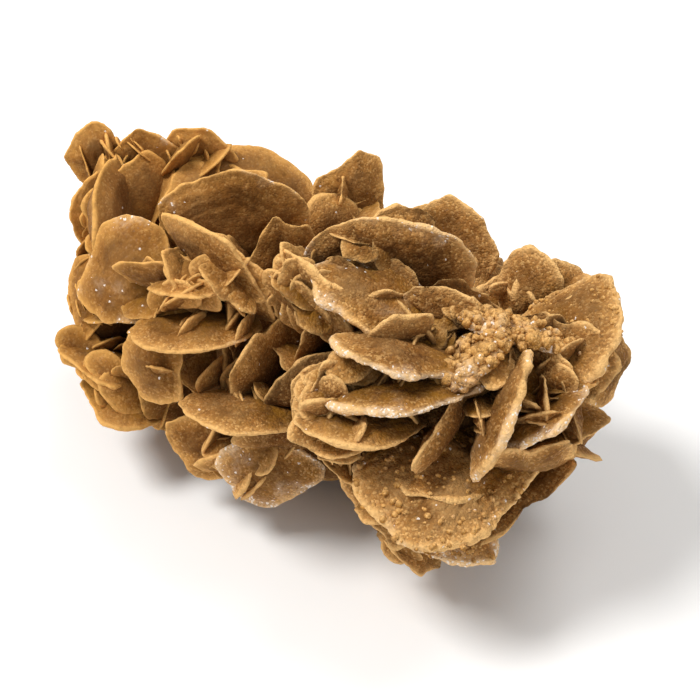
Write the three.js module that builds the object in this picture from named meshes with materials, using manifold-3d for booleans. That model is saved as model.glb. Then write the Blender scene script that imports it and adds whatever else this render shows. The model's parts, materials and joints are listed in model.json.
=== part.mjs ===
// A gypsum sand rose: a long cluster of sandy, lens-shaped gypsum blades that grew through
// each other in desert sand. Each blade is one crystal and one mesh, and where two blades
// meet they part along a thin grain boundary. The cluster rests on the ground-off tips of
// its lowest blades. Millimetres, +Z up, long side along X, origin under the middle.
import * as THREE from 'three';
import { mergeVertices } from 'three/addons/utils/BufferGeometryUtils.js';
import Module from 'manifold-3d';

// Driving dimensions
const GRAIN_GAP = 0.3;
const HEART_THICK = 12;
const HEART_LEAN = 9;
const BACK_SPAN = [58, 48];
const BACK_THICK = 6.5;
const BACK_MIDDLE_HEIGHT = 48;
const BACK_REACH = [38, 32];
const BACK_LEAN_OUT = 0.35;
const BACK_TURN_STEP = 20;
const GROUND_SIZE = 400;

// The section of every lens, as shares of its half width and half thickness
const LENS_SECTION = [[0, -1], [0.78, -0.72], [1, -0.28], [1, 0.28], [0.78, 0.72], [0, 1]];
const RIM_SIDES = 16;
const RIM_WOBBLE = 0.05;

const DEGREE = Math.PI / 180;
const MERGE_DISTANCE = 1e-4;

// One blade: its name, the middle of its lens, the azimuth and elevation that its broad side
// faces, the turn of its long axis from level, its length and width, its thickness, and how
// square its outline is, where 2 is an ellipse, more is squarer and less is more pointed.
function blade(name, at, face, turn, span, thick, square) {
  return { name, at, face, turn, span, thick, square };
}

// The blades chosen one by one
const LEFT_ROSETTE = [
  blade('left_outer', [-58, -31, 74], [-85, 40], 90, [40, 32], 5, 2),
  blade('back_arch', [-32, -4, 85], [-55, 0], 0, [50, 44], 5, 2.2),
  blade('long_diagonal', [-21, -27, 88], [-95, -15], 145, [50, 34], 5, 1.5),
  blade('left_mid_upper', [-39, -33, 79], [-70, -30], 170, [38, 28], 4, 1.4),
  blade('left_mid_lower', [-24, -32, 83], [145, 75], 165, [36, 26], 4, 1.4),
  blade('left_low_big', [-22, -41, 71], [135, 80], 170, [44, 34], 5, 1.5),
  blade('left_lower_disc', [-34, -46, 55], [-80, 15], 140, [28, 24], 4.5, 2),
  blade('left_shelf_middle', [-62, -38, 38], [55, 70], 60, [36, 32], 4.5, 1.6),
  blade('left_shelf_lower', [-56, -37, 25], [70, 75], 50, [40, 36], 5, 1.6),
];

const CENTRE_POCKET = [
  blade('low_rim', [3, -46, 53], [100, 75], 20, [44, 32], 4.5, 1.5),
  blade('fan_left', [7, -25, 86], [-90, -10], 150, [30, 20], 4, 1.4),
  blade('fan_right', [15, -22, 88], [-105, -15], 140, [38, 24], 4, 1.4),
  blade('cross_plate', [36, -40, 74], [-35, 0], 20, [28, 22], 4, 1.5),
  blade('front_left_face', [32, -43, 68], [-80, 25], 125, [28, 24], 5, 2.4),
];

const CROWN = [
  blade('crown_arch', [25, -1, 88], [-60, -5], 175, [54, 48], 6, 2.1),
  blade('crown_front', [31, -16, 92], [-10, 70], 120, [46, 32], 5, 1.5),
  blade('crown_right', [51, -9, 89], [-70, 0], 160, [28, 24], 5, 1.6),
  blade('back_right_left', [13, 25, 83], [-35, 15], 30, [28, 24], 5, 1.9),
  blade('back_right_middle', [27, 37, 80], [-80, 20], 135, [34, 28], 5, 2),
  blade('back_right_end', [59, 30, 77], [-85, 25], 125, [26, 24], 4.5, 2.2),
  blade('top_peak', [-17, 39, 80], [-30, 20], 45, [36, 30], 4.5, 1.4),
  blade('far_top', [-79, 32, 79], [-65, 0], 170, [28, 26], 4.5, 2),
  blade('far_end', [-93, 20, 75], [-50, 0], 5, [32, 30], 4.5, 2),
  blade('far_tip', [-110, 11, 79], [-60, 5], 170, [26, 24], 4.5, 2),
  blade('far_side', [-97, 1, 68], [-20, 15], 45, [30, 26], 4, 1.9),
  blade('left_back', [-76, -31, 57], [-105, 35], 110, [30, 26], 4, 2),
];

const RIGHT_END = [
  blade('right_wall', [81, 9, 79], [-130, 50], 110, [54, 42], 5, 1.5),
  blade('right_side_disc', [86, 32, 61], [-10, 25], 60, [28, 24], 5, 2),
  blade('right_low_upper', [88, -15, 72], [-165, 55], 125, [40, 28], 4.5, 1.4),
  blade('right_low_lower', [86, -3, 60], [-160, 80], 95, [42, 30], 4.5, 1.5),
  blade('stake', [82, -27, 77], [-150, 25], 125, [44, 22], 4.5, 1.5),
  blade('crust_plate', [66, -18, 85], [-155, 45], 125, [30, 22], 5, 2),
  blade('ridge_plate', [71, -3, 87], [90, 60], 25, [34, 22], 5, 2.2),
];

const FRONT = [
  blade('front_upper', [50, -30, 86], [90, 70], 25, [46, 32], 5, 1.4),
  blade('front_middle', [56, -37, 79], [145, 70], 160, [48, 32], 5, 1.35),
  blade('front_low', [46, -45, 69], [120, 75], 5, [42, 30], 5, 1.5),
  blade('bottom_upper', [70, -38, 54], [-45, 75], 5, [58, 46], 6, 1.4),
  blade('bottom_lower', [71, -36, 37], [-30, 60], 135, [32, 28], 5.5, 2.1),
  blade('tail_upper', [63, -40, 36], [35, 45], 65, [28, 24], 4.5, 1.5),
  blade('tail_lower', [57, -34, 18], [30, 55], 70, [28, 22], 4, 1.5),
  blade('hanging_left', [-15, -42, 27], [-60, 10], 170, [34, 28], 5, 1.6),
  blade('hanging_middle', [7, -43, 28], [-60, 10], 175, [36, 30], 5, 1.4),
  blade('hanging_right', [42, -43, 51], [40, 65], 65, [28, 22], 4, 1.5),
  blade('hanging_leaf', [47, -41, 40], [-85, 10], 140, [28, 22], 4, 1.5),
];

// The heart: round blades that stand across the long axis and swing to and fro, so that each
// meets the next. The middle ones reach down to the ground, and two fill in at the front.
const HEART = [
  { along: -88, aside: 0, height: 50, across: 66, swing: 26 },
  { along: -58, aside: 0, height: 39, across: 84, swing: -26 },
  { along: -27, aside: 0, height: 39, across: 86, swing: 26 },
  { along: 5, aside: 0, height: 39, across: 86, swing: -26 },
  { along: 37, aside: 0, height: 38, across: 84, swing: 26 },
  { along: 69, aside: 0, height: 58, across: 60, swing: -26 },
  { along: -46, aside: -19, height: 40, across: 56, swing: 5 },
  { along: 20, aside: -20, height: 42, across: 64, swing: -35 },
];

// The back: two rows of broad blades that stand out from the heart like petals.
// along: place on the long axis. around: degrees up from level, seen from the end.
const BACK_ROWS = [
  { name: 'back_upper', around: 38, along: [-58, -20, 20, 62], twists: [35, -30, 40, -35] },
  { name: 'back_lower', around: -12, along: [-82, -42, 10, 56], twists: [-40, 30, -35, 45] },
];

const SANDY_GYPSUM = { color: 0xb08a58, roughness: 0.95, metalness: 0 };

const wasm = await Module();
wasm.setup();

// A steady wobble for a rim, different for each blade.
function wobble(angle, seed) {
  return Math.sin(3 * angle + seed) * 0.5 + Math.sin(5 * angle + 2.3 * seed) * 0.5;
}

// Half the distance across a rounded outline at an angle.
function reach(angle, span, square) {
  const across = Math.abs(Math.cos(angle) / (span[0] / 2)) ** square;
  const up = Math.abs(Math.sin(angle) / (span[1] / 2)) ** square;
  return (across + up) ** (-1 / square);
}

// A lens with a thin rim, lying in the XY plane, its outline worked out from its spans and
// grown all round by extra.
function lens(crystal, seed, extra) {
  const profile = LENS_SECTION.map(([out, up]) => new THREE.Vector2(out, up));
  const geometry = new THREE.LatheGeometry(profile, RIM_SIDES).rotateX(Math.PI / 2);
  const place = geometry.getAttribute('position');
  for (let i = 0; i < place.count; i += 1) {
    const angle = Math.atan2(place.getY(i), place.getX(i));
    const swell = 1 + RIM_WOBBLE * wobble(angle, seed);
    const edge = reach(angle, crystal.span, crystal.square) * swell + extra;
    place.setX(i, place.getX(i) * edge);
    place.setY(i, place.getY(i) * edge);
    place.setZ(i, place.getZ(i) * (crystal.thick / 2 + extra));
  }
  return geometry;
}

// The pose of a blade: its face along the given direction, its long axis turned from level.
function poseOf(crystal) {
  const [azimuth, elevation] = crystal.face.map((angle) => angle * DEGREE);
  const face = new THREE.Vector3(
    Math.cos(azimuth) * Math.cos(elevation),
    Math.sin(azimuth) * Math.cos(elevation),
    Math.sin(elevation),
  );
  const level = new THREE.Vector3(-Math.sin(azimuth), Math.cos(azimuth), 0);
  const long = level.clone().applyAxisAngle(face, crystal.turn * DEGREE);
  const wide = face.clone().cross(long);
  return new THREE.Matrix4().makeBasis(long, wide, face).setPosition(...crystal.at);
}

function solidOf(geometry) {
  const bare = geometry.clone();
  bare.deleteAttribute('normal');
  bare.deleteAttribute('uv');
  const merged = mergeVertices(bare, MERGE_DISTANCE);
  return new wasm.Manifold(new wasm.Mesh({
    numProp: 3,
    vertProperties: new Float32Array(merged.getAttribute('position').array),
    triVerts: new Uint32Array(merged.index.array),
  }));
}

function geometryOf(solid) {
  const mesh = solid.getMesh();
  const geometry = new THREE.BufferGeometry();
  geometry.setAttribute('position', new THREE.BufferAttribute(mesh.vertProperties, mesh.numProp));
  geometry.setIndex(new THREE.BufferAttribute(mesh.triVerts, 1));
  return geometry;
}

// The biggest of the bodies that a cut has left.
function biggest(solid) {
  return solid.decompose().reduce((a, b) => (a.volume() > b.volume() ? a : b));
}

function heartBlade(place, i) {
  const at = [place.along, place.aside, place.height];
  const face = [place.swing, Math.sign(place.swing) * HEART_LEAN];
  return blade(`heart_${i + 1}`, at, face, 0, [place.across, place.across], HEART_THICK, 2);
}

// One blade of the back, standing out from the heart and twisted about its own radius.
function backBlade(row, i) {
  const around = row.around * DEGREE;
  const out = new THREE.Vector3(0, Math.cos(around), Math.sin(around));
  const face = new THREE.Vector3(0, -Math.sin(around), Math.cos(around));
  face.applyAxisAngle(out, row.twists[i] * DEGREE).addScaledVector(out, BACK_LEAN_OUT).normalize();
  const azimuth = Math.atan2(face.y, face.x) / DEGREE;
  const elevation = Math.asin(face.z) / DEGREE;
  const at = [row.along[i], out.y * BACK_REACH[0], BACK_MIDDLE_HEIGHT + out.z * BACK_REACH[1]];
  const turn = BACK_TURN_STEP * i;
  return blade(`${row.name}_${i + 1}`, at, [azimuth, elevation], turn, BACK_SPAN, BACK_THICK, 2);
}

const backBlades = BACK_ROWS.flatMap((row) => row.along.map((_, i) => backBlade(row, i)));
const heartBlades = HEART.map(heartBlade);
const outerRegions = [LEFT_ROSETTE, CENTRE_POCKET, CROWN, RIGHT_END, FRONT, backBlades];
const regions = [...outerRegions, heartBlades];
const area = (crystal) => crystal.span[0] * crystal.span[1];

// The broadest outer blades stay whole, and each smaller one is cut where it meets a broader
// one. The heart grew last into what room was left, so it is cut by them all.
const crystals = [...outerRegions.flat().sort((a, b) => area(b) - area(a)), ...heartBlades];
const ground = solidOf(new THREE.BoxGeometry(GROUND_SIZE, GROUND_SIZE, GROUND_SIZE)
  .translate(0, 0, -GROUND_SIZE / 2));
const cutters = [ground];
const grown = new Map();
crystals.forEach((crystal, seed) => {
  const pose = poseOf(crystal);
  let solid = solidOf(lens(crystal, seed, 0).applyMatrix4(pose));
  for (const cutter of cutters) solid = solid.subtract(cutter);
  grown.set(crystal.name, { pose, solid: biggest(solid) });
  cutters.push(solidOf(lens(crystal, seed, GRAIN_GAP).applyMatrix4(pose)));
});

// The scene graph: one group for each region, each blade's mesh placed by its own pose.
const sandRose = new THREE.Group();
for (const region of regions) {
  const group = new THREE.Group();
  for (const crystal of region) {
    const { pose, solid } = grown.get(crystal.name);
    const geometry = geometryOf(solid).applyMatrix4(pose.clone().invert());
    geometry.computeVertexNormals();
    const mesh = new THREE.Mesh(geometry, new THREE.MeshStandardMaterial(SANDY_GYPSUM));
    mesh.name = crystal.name;
    mesh.applyMatrix4(pose);
    group.add(mesh);
  }
  sandRose.add(group);
}

// Centre the cluster over its origin.
sandRose.updateMatrixWorld(true);
const middle = new THREE.Box3().setFromObject(sandRose, true).getCenter(new THREE.Vector3());
sandRose.position.set(-middle.x, -middle.y, 0);

export default sandRose;
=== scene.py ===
"""A gypsum sand rose: a long cluster of sandy gypsum blades on a pale studio floor.

Every blade of the CAD frame is measured and grown again as a fine, sand-grained surface with a
rounded, ragged rim. Small blades, inner blades and nodules of sand crust fill in between them.
"""

import itertools
import json
import math

import bpy
import numpy as np
from bpy.props import FloatProperty, FloatVectorProperty, IntProperty, PointerProperty
from mathutils import Matrix, Vector


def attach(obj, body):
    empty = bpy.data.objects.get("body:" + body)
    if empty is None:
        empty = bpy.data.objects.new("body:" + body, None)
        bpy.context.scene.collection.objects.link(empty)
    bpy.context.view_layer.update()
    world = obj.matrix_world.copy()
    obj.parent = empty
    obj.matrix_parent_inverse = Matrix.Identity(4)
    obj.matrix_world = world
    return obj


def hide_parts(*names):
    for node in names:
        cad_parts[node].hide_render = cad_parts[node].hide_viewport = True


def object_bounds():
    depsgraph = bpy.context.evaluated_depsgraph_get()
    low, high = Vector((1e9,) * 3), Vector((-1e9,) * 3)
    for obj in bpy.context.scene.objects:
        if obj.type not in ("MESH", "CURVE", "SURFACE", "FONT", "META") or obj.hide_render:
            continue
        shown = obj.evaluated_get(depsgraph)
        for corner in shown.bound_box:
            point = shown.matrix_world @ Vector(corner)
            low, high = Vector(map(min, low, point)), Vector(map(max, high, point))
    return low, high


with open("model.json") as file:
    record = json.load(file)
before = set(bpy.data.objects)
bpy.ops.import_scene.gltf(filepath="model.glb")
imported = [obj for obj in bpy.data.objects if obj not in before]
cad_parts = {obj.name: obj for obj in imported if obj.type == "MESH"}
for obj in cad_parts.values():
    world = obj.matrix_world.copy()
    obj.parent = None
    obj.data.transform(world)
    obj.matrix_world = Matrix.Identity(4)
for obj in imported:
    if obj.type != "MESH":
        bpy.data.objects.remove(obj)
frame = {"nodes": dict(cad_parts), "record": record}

bl_info = {
    "name": "Gypsum sand rose",
    "version": (1, 0, 0),
    "blender": (4, 5, 0),
    "location": "3D View > Sidebar > Sand rose",
    "description": "Grows the blades, the crust and the studio of a gypsum sand rose",
    "category": "Add Mesh",
}

MM = 0.001
DEGREE = math.pi / 180
CAD_BOX = [list(map(float, corner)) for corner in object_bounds()]
LOW = np.array(CAD_BOX[0])
HIGH = np.array(CAD_BOX[1])
CENTRE = (LOW + HIGH) / 2

# Grids and spacings
DIRECTIONS = 180
COARSE = 41
COARSE_BLURS = 3
RIM_CROWDING = 0.4
FEWEST_LINES, MOST_LINES = 15, 111

# The cluster as a whole
FIELD_CELL = 2.5 * MM
FIELD_BLUR = 6.5 * MM
CLOUD_POINTS = 300000
AXIS_HEIGHT_SHARE = 0.45
ACROSS_THE_AXIS = np.array([0.0, 1.0, 1.0])
SHOWN_SIDE = np.array([0.0, -0.72, 0.69])

# The camera, as an offset from the middle of the CAD box and a direction to look from
CAMERA_AZIMUTH = 35 * DEGREE
CAMERA_ELEVATION = 38 * DEGREE
CAMERA_DISTANCE = 470 * MM
CAMERA_LENS = 72
CAMERA_AIM = np.array([15.6, 3.6, -8.2]) * MM

# Where along the cluster the skin starts to turn gritty, and where it is at its grittiest
SMOOTH_END, GRITTY_END = -70 * MM, 50 * MM

# The size and height in millimetres of the lumps on a blade's skin and of the rags in its rim
LUMPS = ((11.0, 0.4), (4.5, 0.22), (2.0, 0.13), (1.0, 0.1))
RAGS = ((15.0, 1.8), (6.0, 0.75), (2.6, 0.22), (1.2, 0.12))

# How much deeper a blade grows towards the long axis, how straight and how sharp-cornered its
# edges are, and the steps of its growth layers
INWARD_GROWTH = 0.15
EDGE_STRAIGHTNESS = 0.6
SMOOTH_STRAIGHTNESS = 0.1
CORNER_POWER = 16
LONGEST_CORNER = 1.3
TERRACE_WIDTH = 4.5 * MM
TERRACE_HEIGHT = 0.4 * MM
MOST_TERRACES = 3

# A visible surface stays this far above the ground
GROUND_GAP = 0.15 * MM

# The crusted blades: how many nodules, as a share of the setting, and the largest radius
NODULES = {"crust_plate": (1.8, 2.2), "ridge_plate": (1.7, 2.0), "bottom_upper": (1.1, 0.95),
           "bottom_lower": (0.8, 0.9), "right_wall": (0.6, 0.9)}

# The blades whose outlines are arcs or points already, and gain no straight edges
SMOOTH_EDGED = ("back_arch", "crown_arch", "front_low", "front_middle", "front_upper",
                "left_low_big", "left_mid_lower", "left_mid_upper", "long_diagonal", "stake")

# The broad blades whose faces no twin grows through
BARE_FACED = ("back_arch", "bottom_lower", "bottom_upper", "crown_arch", "crown_front", "crown_right",
              "front_low", "front_middle", "front_upper", "left_low_big", "left_outer",
              "long_diagonal", "right_wall", "stake", "crust_plate", "ridge_plate")

# Blades with their own finish: how much knobbly crust and white sugary gypsum they carry, and
# how much rounder than the others their rims are
CRUST = {"crust_plate": 1.0, "ridge_plate": 1.0, "front_upper": 0.35, "right_wall": 0.45,
         "bottom_upper": 0.75, "bottom_lower": 0.8, "tail_upper": 0.45, "stake": 0.3, "front_middle": 0.25}
SUGAR = {"crown_front": 0.7, "crown_arch": 0.35, "hanging_middle": 0.8, "front_upper": 0.7,
         "crown_right": 0.35, "ridge_plate": 0.9, "far_end": 0.3, "back_arch": 0.35, "left_outer": 0.3,
         "left_low_big": 0.35, "front_middle": 0.7, "right_wall": 0.4, "right_low_upper": 0.6,
         "bottom_upper": 0.35, "bottom_lower": 0.5, "stake": 0.5, "crust_plate": 0.5}
ROUNDER = {"front_upper": 2.0, "front_middle": 1.8, "stake": 2.4, "right_wall": 1.8, "ridge_plate": 2.4,
           "crown_front": 1.6, "right_low_upper": 1.5, "bottom_upper": 1.5, "crust_plate": 1.6}

# The offshoots on a broad blade: the blades that have none, how many places are tried, how crowded a place
# must be, and how much less crowded it may be in the fine-bladed far end
OFFSHOOT_TRIES = 12
OFFSHOOT_FREE = (*CRUST, "left_outer")
OFFSHOOT_CROWDING = 0.62
FAR_END_FREEDOM = 0.22
FAR_END_START = -45 * MM

# The broad blades whose shown faces carry pairs of small blades, sorted into pieces by region,
# how many pairs are tried on each, and how crowded a place must be for a pair
SMALL_BLADE_HOSTS = {
    "small_blades_left": ("back_arch", "left_mid_upper", "left_mid_lower", "left_shelf_middle",
                          "left_shelf_lower", "left_lower_disc", "long_diagonal"),
    "small_blades_pocket": ("low_rim", "fan_left", "fan_right", "cross_plate", "left_low_big",
                            "front_left_face"),
    "small_blades_crown": ("crown_arch", "crown_front", "crown_right", "top_peak", "far_top",
                           "back_right_left"),
    "small_blades_right": ("right_wall", "right_side_disc", "right_low_upper", "right_low_lower",
                           "stake"),
    "small_blades_front": ("front_upper", "front_middle", "front_low", "tail_upper", "tail_lower",
                           "hanging_left", "hanging_middle", "hanging_right"),
}
WALL_TRIES = 4
WALL_CROWDING = 0.55

# The sizes of the seeded blades: lengths and thicknesses in millimetres, but a twin's length as a
# share of its host, widths as shares of the length, how square the outlines are, and how many
# degrees a blade leans off its host
WALL = {"lean": (40, 70), "length": (13, 23), "width": (0.62, 0.85), "thick": (3.4, 4.4),
        "square": (1.6, 2.1)}
OFFSHOOT = {"lean": (45, 85), "length": (8, 17), "width": (0.6, 0.85), "thick": (2.4, 3.8),
            "square": (1.9, 2.4)}
TWIN = {"lean": (35, 85), "length": (1.1, 1.7), "width": (0.65, 0.9), "thick": (2.8, 4.2),
        "square": (1.5, 2.0)}
INNER = {"length": (22, 42), "width": (0.7, 0.95), "thick": (3.6, 5.2), "square": (1.6, 2.2)}

# How far out the inner blades sit and the seeded blades' rims may reach, as shares of the
# cluster's own reach: less on the shown side, where they would hide the named blades
INNER_DEPTH_SHOWN, INNER_DEPTH_HIDDEN = (0.42, 0.72), (0.55, 0.84)
INNER_LIMIT_SHOWN, INNER_LIMIT_HIDDEN = 0.86, 0.98
TWIN_LIMIT_SHOWN, TWIN_LIMIT_HIDDEN = 0.86, 0.95
WALL_LIMIT, OFFSHOOT_LIMIT = 0.97, 1.0
INNER_END_GAP = 14 * MM


# ---------------------------------------------------------------- noise and fields

def hashed(cells, seed):
    """A repeatable random number in 0..1 for each integer cell: its coordinates times large
    primes, mixed by shifts and products in 32 bits."""
    cells = cells.astype(np.int64).astype(np.uint32)
    mixed = cells[..., 0] * np.uint32(73856093) ^ cells[..., 1] * np.uint32(19349663)
    mixed ^= cells[..., 2] * np.uint32(83492791) ^ np.uint32(seed * 40503 + 977)
    mixed = (mixed ^ (mixed >> np.uint32(15))) * np.uint32(2246822519)
    mixed = (mixed ^ (mixed >> np.uint32(13))) * np.uint32(3266489917)
    return (mixed ^ (mixed >> np.uint32(16))) / np.float64(2 ** 32)


def lattice_noise(points, size, seed):
    """Smooth noise in -1..1: the corners of a cubic lattice hold random numbers, and a point
    takes the eight around it, each weighted by 3tt - 2ttt along every axis."""
    place = points / size
    cell = np.floor(place)
    share = place - cell
    share = share * share * (3 - 2 * share)
    total = np.zeros(points.shape[:-1])
    for corner in itertools.product((0, 1), repeat=3):
        weight = np.prod(np.where(corner, share, 1 - share), axis=-1)
        total += weight * hashed(cell + np.array(corner), seed)
    return 2 * total - 1


def knobs(points, size, seed):
    """Round knobs in 0..1: each cell of a lattice holds one jittered centre, and a point's
    height is that of the half ball round its nearest centre, sqrt(1 - dd)."""
    place = points / size
    cell = np.floor(place)
    nearest = np.full(points.shape[:-1], 9.0)
    for step in itertools.product((-1, 0, 1), repeat=3):
        home = cell + np.array(step)
        jitter = np.stack([hashed(home, seed + axis) for axis in range(3)], axis=-1)
        gap = place - (home + 0.2 + 0.6 * jitter)
        nearest = np.minimum(nearest, (gap * gap).sum(-1))
    return np.sqrt(np.clip(1 - nearest / 0.62, 0, 1))


def layered(points, layers, seed):
    """The sum of lattice noises, each with its size and height in millimetres."""
    return sum(height * MM * lattice_noise(points, size * MM, seed + 7 * i)
               for i, (size, height) in enumerate(layers))


def smoothstep(low, high, value):
    """0 below low, 1 above high, and 3tt - 2ttt between them."""
    share = np.clip((value - low) / (high - low), 0, 1)
    return share * share * (3 - 2 * share)


def triangles(node):
    """A CAD node's triangles, as an array of (triangle, corner, xyz) in metres."""
    mesh = frame["nodes"][node].data
    mesh.calc_loop_triangles()
    index = np.empty(len(mesh.loop_triangles) * 3, np.int32)
    mesh.loop_triangles.foreach_get("vertices", index)
    place = np.empty(len(mesh.vertices) * 3, np.float32)
    mesh.vertices.foreach_get("co", place)
    return place.reshape(-1, 3)[index].reshape(-1, 3, 3).astype(float)


def scatter(corners, count, rng):
    """Random points spread evenly over triangles, and the outward normal at each: a triangle
    is picked by its area, and a point in it by folded random shares of two sides."""
    cross = np.cross(corners[:, 1] - corners[:, 0], corners[:, 2] - corners[:, 0])
    area = np.linalg.norm(cross, axis=1)
    pick = rng.choice(len(corners), count, p=area / area.sum())
    share = rng.random((count, 2))
    share = np.where(share.sum(1, keepdims=True) > 1, 1 - share, share)
    side = corners[pick, 1:] - corners[pick, :1]
    points = corners[pick, 0] + (side * share[:, :, None]).sum(1)
    return points, cross[pick] / area[pick, None]


def blur_along(field, axis, reach, sigma):
    """A field blurred along one axis by a bell curve of the given sigma, in cells."""
    steps = np.arange(-reach, reach + 1)
    weights = np.exp(-steps ** 2 / (2 * sigma ** 2))
    weights /= weights.sum()
    return sum(w * np.roll(field, s, axis) for w, s in zip(weights, steps))


class Crowding:
    """How much stone there is around a place: the points of a cloud are counted in small
    cubes, the counts are blurred, and a place reads the blurred count, from 0 to about 1."""

    def __init__(self, cloud):
        self.origin = LOW - 8 * FIELD_CELL
        shape = np.ceil((HIGH - LOW) / FIELD_CELL).astype(int) + 16
        cell = ((cloud - self.origin) / FIELD_CELL).astype(int)
        field = np.zeros(shape)
        np.add.at(field, tuple(cell.T), 1.0)
        sigma = FIELD_BLUR / FIELD_CELL
        for axis in range(3):
            field = blur_along(field, axis, 7, sigma)
        self.field = field / np.percentile(field[field > field.max() * 0.02], 97)

    def at(self, points):
        """The blurred count at any points, straight between the eight cubes around each."""
        place = (points - self.origin) / FIELD_CELL - 0.5
        place = np.clip(place, 0, np.array(self.field.shape) - 1.001)
        cell = place.astype(int)
        share = place - cell
        total = np.zeros(points.shape[:-1])
        for corner in itertools.product((0, 1), repeat=3):
            weight = np.prod(np.where(corner, share, 1 - share), axis=-1)
            home = cell + np.array(corner)
            total += weight * self.field[home[..., 0], home[..., 1], home[..., 2]]
        return total


class Envelope:
    """How far the cluster reaches from its long axis: the farthest point of a cloud for each
    station along the axis and each direction around it, a little smoothed."""

    STATIONS, AROUND = 30, 36

    def __init__(self, cloud):
        self.axis = np.array([0.0, CENTRE[1], HIGH[2] * AXIS_HEIGHT_SHARE])
        far = np.zeros((self.STATIONS, self.AROUND))
        station, turn, out = self.polar(cloud)
        np.maximum.at(far, (station.astype(int), turn.astype(int)), out)
        far = np.maximum(far, 0.5 * (np.roll(far, 1, 1) + np.roll(far, -1, 1)))
        self.far = blur_along(far, 1, 2, 0.8)

    def polar(self, points):
        """Station along the axis, turn around it and distance from it, of any points."""
        gap = points - self.axis
        station = (points[..., 0] - LOW[0]) / (HIGH[0] - LOW[0]) * self.STATIONS
        turn = np.arctan2(gap[..., 2], gap[..., 1]) / math.tau * self.AROUND
        station = np.clip(station, 0, self.STATIONS - 1)
        return station, turn % self.AROUND, np.hypot(gap[..., 1], gap[..., 2])

    def share(self, points):
        """How far out points are, as a share of the cluster's own reach there."""
        station, turn, out = self.polar(points)
        return out / np.maximum(self.far[station.astype(int), turn.astype(int)], 5 * MM)


CLOUD = scatter(np.concatenate([triangles(n) for n in sorted(frame["nodes"])]),
                CLOUD_POINTS, np.random.default_rng(5))[0]
CROWDING = Crowding(CLOUD)
ENVELOPE = Envelope(CLOUD)


# ---------------------------------------------------------------- the plain shape of a blade

def disc_grid(count):
    """A square grid bent into a disc: a point's ring is the larger of its two coordinates,
    and its angle runs evenly along the square's sides. Returns ring 0..1 and angle."""
    line = np.linspace(-1, 1, count)
    a, b = np.meshgrid(line, line, indexing="ij")
    ring = np.maximum(abs(a), abs(b))
    flat = abs(a) >= abs(b)
    over = np.where(flat, a, b)
    over = np.where(over == 0, 1, over)
    along_a = np.where(a >= 0, 0, math.pi) + b / over * math.pi / 4
    along_b = np.where(b >= 0, math.pi / 2, 1.5 * math.pi) - a / over * math.pi / 4
    return ring, np.where(flat, along_a, along_b)


def round_table(table, angle):
    """Reads a table of values all round a circle at any angles, straight between entries."""
    turn = (angle / math.tau * len(table)) % len(table)
    low = turn.astype(int) % len(table)
    share = turn - np.floor(turn)
    return table[low] * (1 - share) + table[(low + 1) % len(table)] * share


def cross2(a, b):
    """The turn from one flat vector to another: ax by - ay bx."""
    return a[..., 0] * b[..., 1] - a[..., 1] * b[..., 0]


def outline(flat):
    """The farthest crossing of each direction's ray with the edges of flat triangles."""
    angle = np.arange(DIRECTIONS) / DIRECTIONS * math.tau
    ray = np.stack([np.cos(angle), np.sin(angle)], axis=-1)[:, None]
    start = flat.reshape(-1, 2)[None]
    edge = np.roll(flat, -1, axis=1).reshape(-1, 2)[None] - start
    turn = cross2(ray, edge)
    turn = np.where(abs(turn) < 1e-12, 1e-12, turn)
    along = cross2(start, edge) / turn
    share = cross2(start, ray) / turn
    hit = (share >= -1e-6) & (share <= 1 + 1e-6) & (along > 0)
    return np.where(hit, along, 0).max(axis=1)


def cover(flat, rise, points):
    """The lowest and highest triangle over each point of the plane, not a number if none."""
    start = flat[None, :, 0]
    one = flat[None, :, 1] - start
    two = flat[None, :, 2] - start
    area = cross2(one, two)
    thin = abs(area) < 1e-12
    area = np.where(thin, 1, area)
    gap = points[:, None] - start
    s = cross2(gap, two) / area
    t = cross2(one, gap) / area
    inside = (s >= -1e-6) & (t >= -1e-6) & (s + t <= 1 + 1e-6) & ~thin
    height = rise[:, 0] + s * (rise[:, 1] - rise[:, 0]) + t * (rise[:, 2] - rise[:, 0])
    low = np.where(inside, height, np.inf).min(axis=1)
    high = np.where(inside, height, -np.inf).max(axis=1)
    found = inside.any(axis=1)
    return np.where(found, low, np.nan), np.where(found, high, np.nan)


def soften(grid, times):
    """A grid averaged with its neighbours, its border kept, and its gaps filled first."""
    while np.isnan(grid).any():
        padded = np.pad(grid, 1, constant_values=np.nan)
        around = np.stack([padded[1 + i:padded.shape[0] - 1 + i, 1 + j:padded.shape[1] - 1 + j]
                           for i in (-1, 0, 1) for j in (-1, 0, 1)])
        count = (~np.isnan(around)).sum(0)
        mean = np.nansum(around, axis=0) / np.maximum(count, 1)
        grid = np.where(np.isnan(grid) & (count > 0), mean, grid)
    for _ in range(times):
        padded = np.pad(grid, 1, mode="edge")
        rows = (padded[:-2] + 2 * padded[1:-1] + padded[2:]) / 4
        grid = (rows[:, :-2] + 2 * rows[:, 1:-1] + rows[:, 2:]) / 4
    return grid


def resample(grid, count):
    """A square grid read on a finer square grid, straight between its lines."""
    place = np.linspace(0, len(grid) - 1, count)
    low = np.minimum(place.astype(int), len(grid) - 2)
    weights = np.zeros((count, len(grid)))
    weights[np.arange(count), low] = 1 - (place - low)
    weights[np.arange(count), low + 1] = place - low
    return weights @ grid @ weights.T


def upright_axes(face):
    """Level, wide and face directions of a blade, as rows."""
    level = np.cross([0, 0, 1], face)
    if np.linalg.norm(level) < 0.05:
        level = np.array([1.0, 0, 0])
    level /= np.linalg.norm(level)
    return np.stack([level, np.cross(face, level), face])


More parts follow.
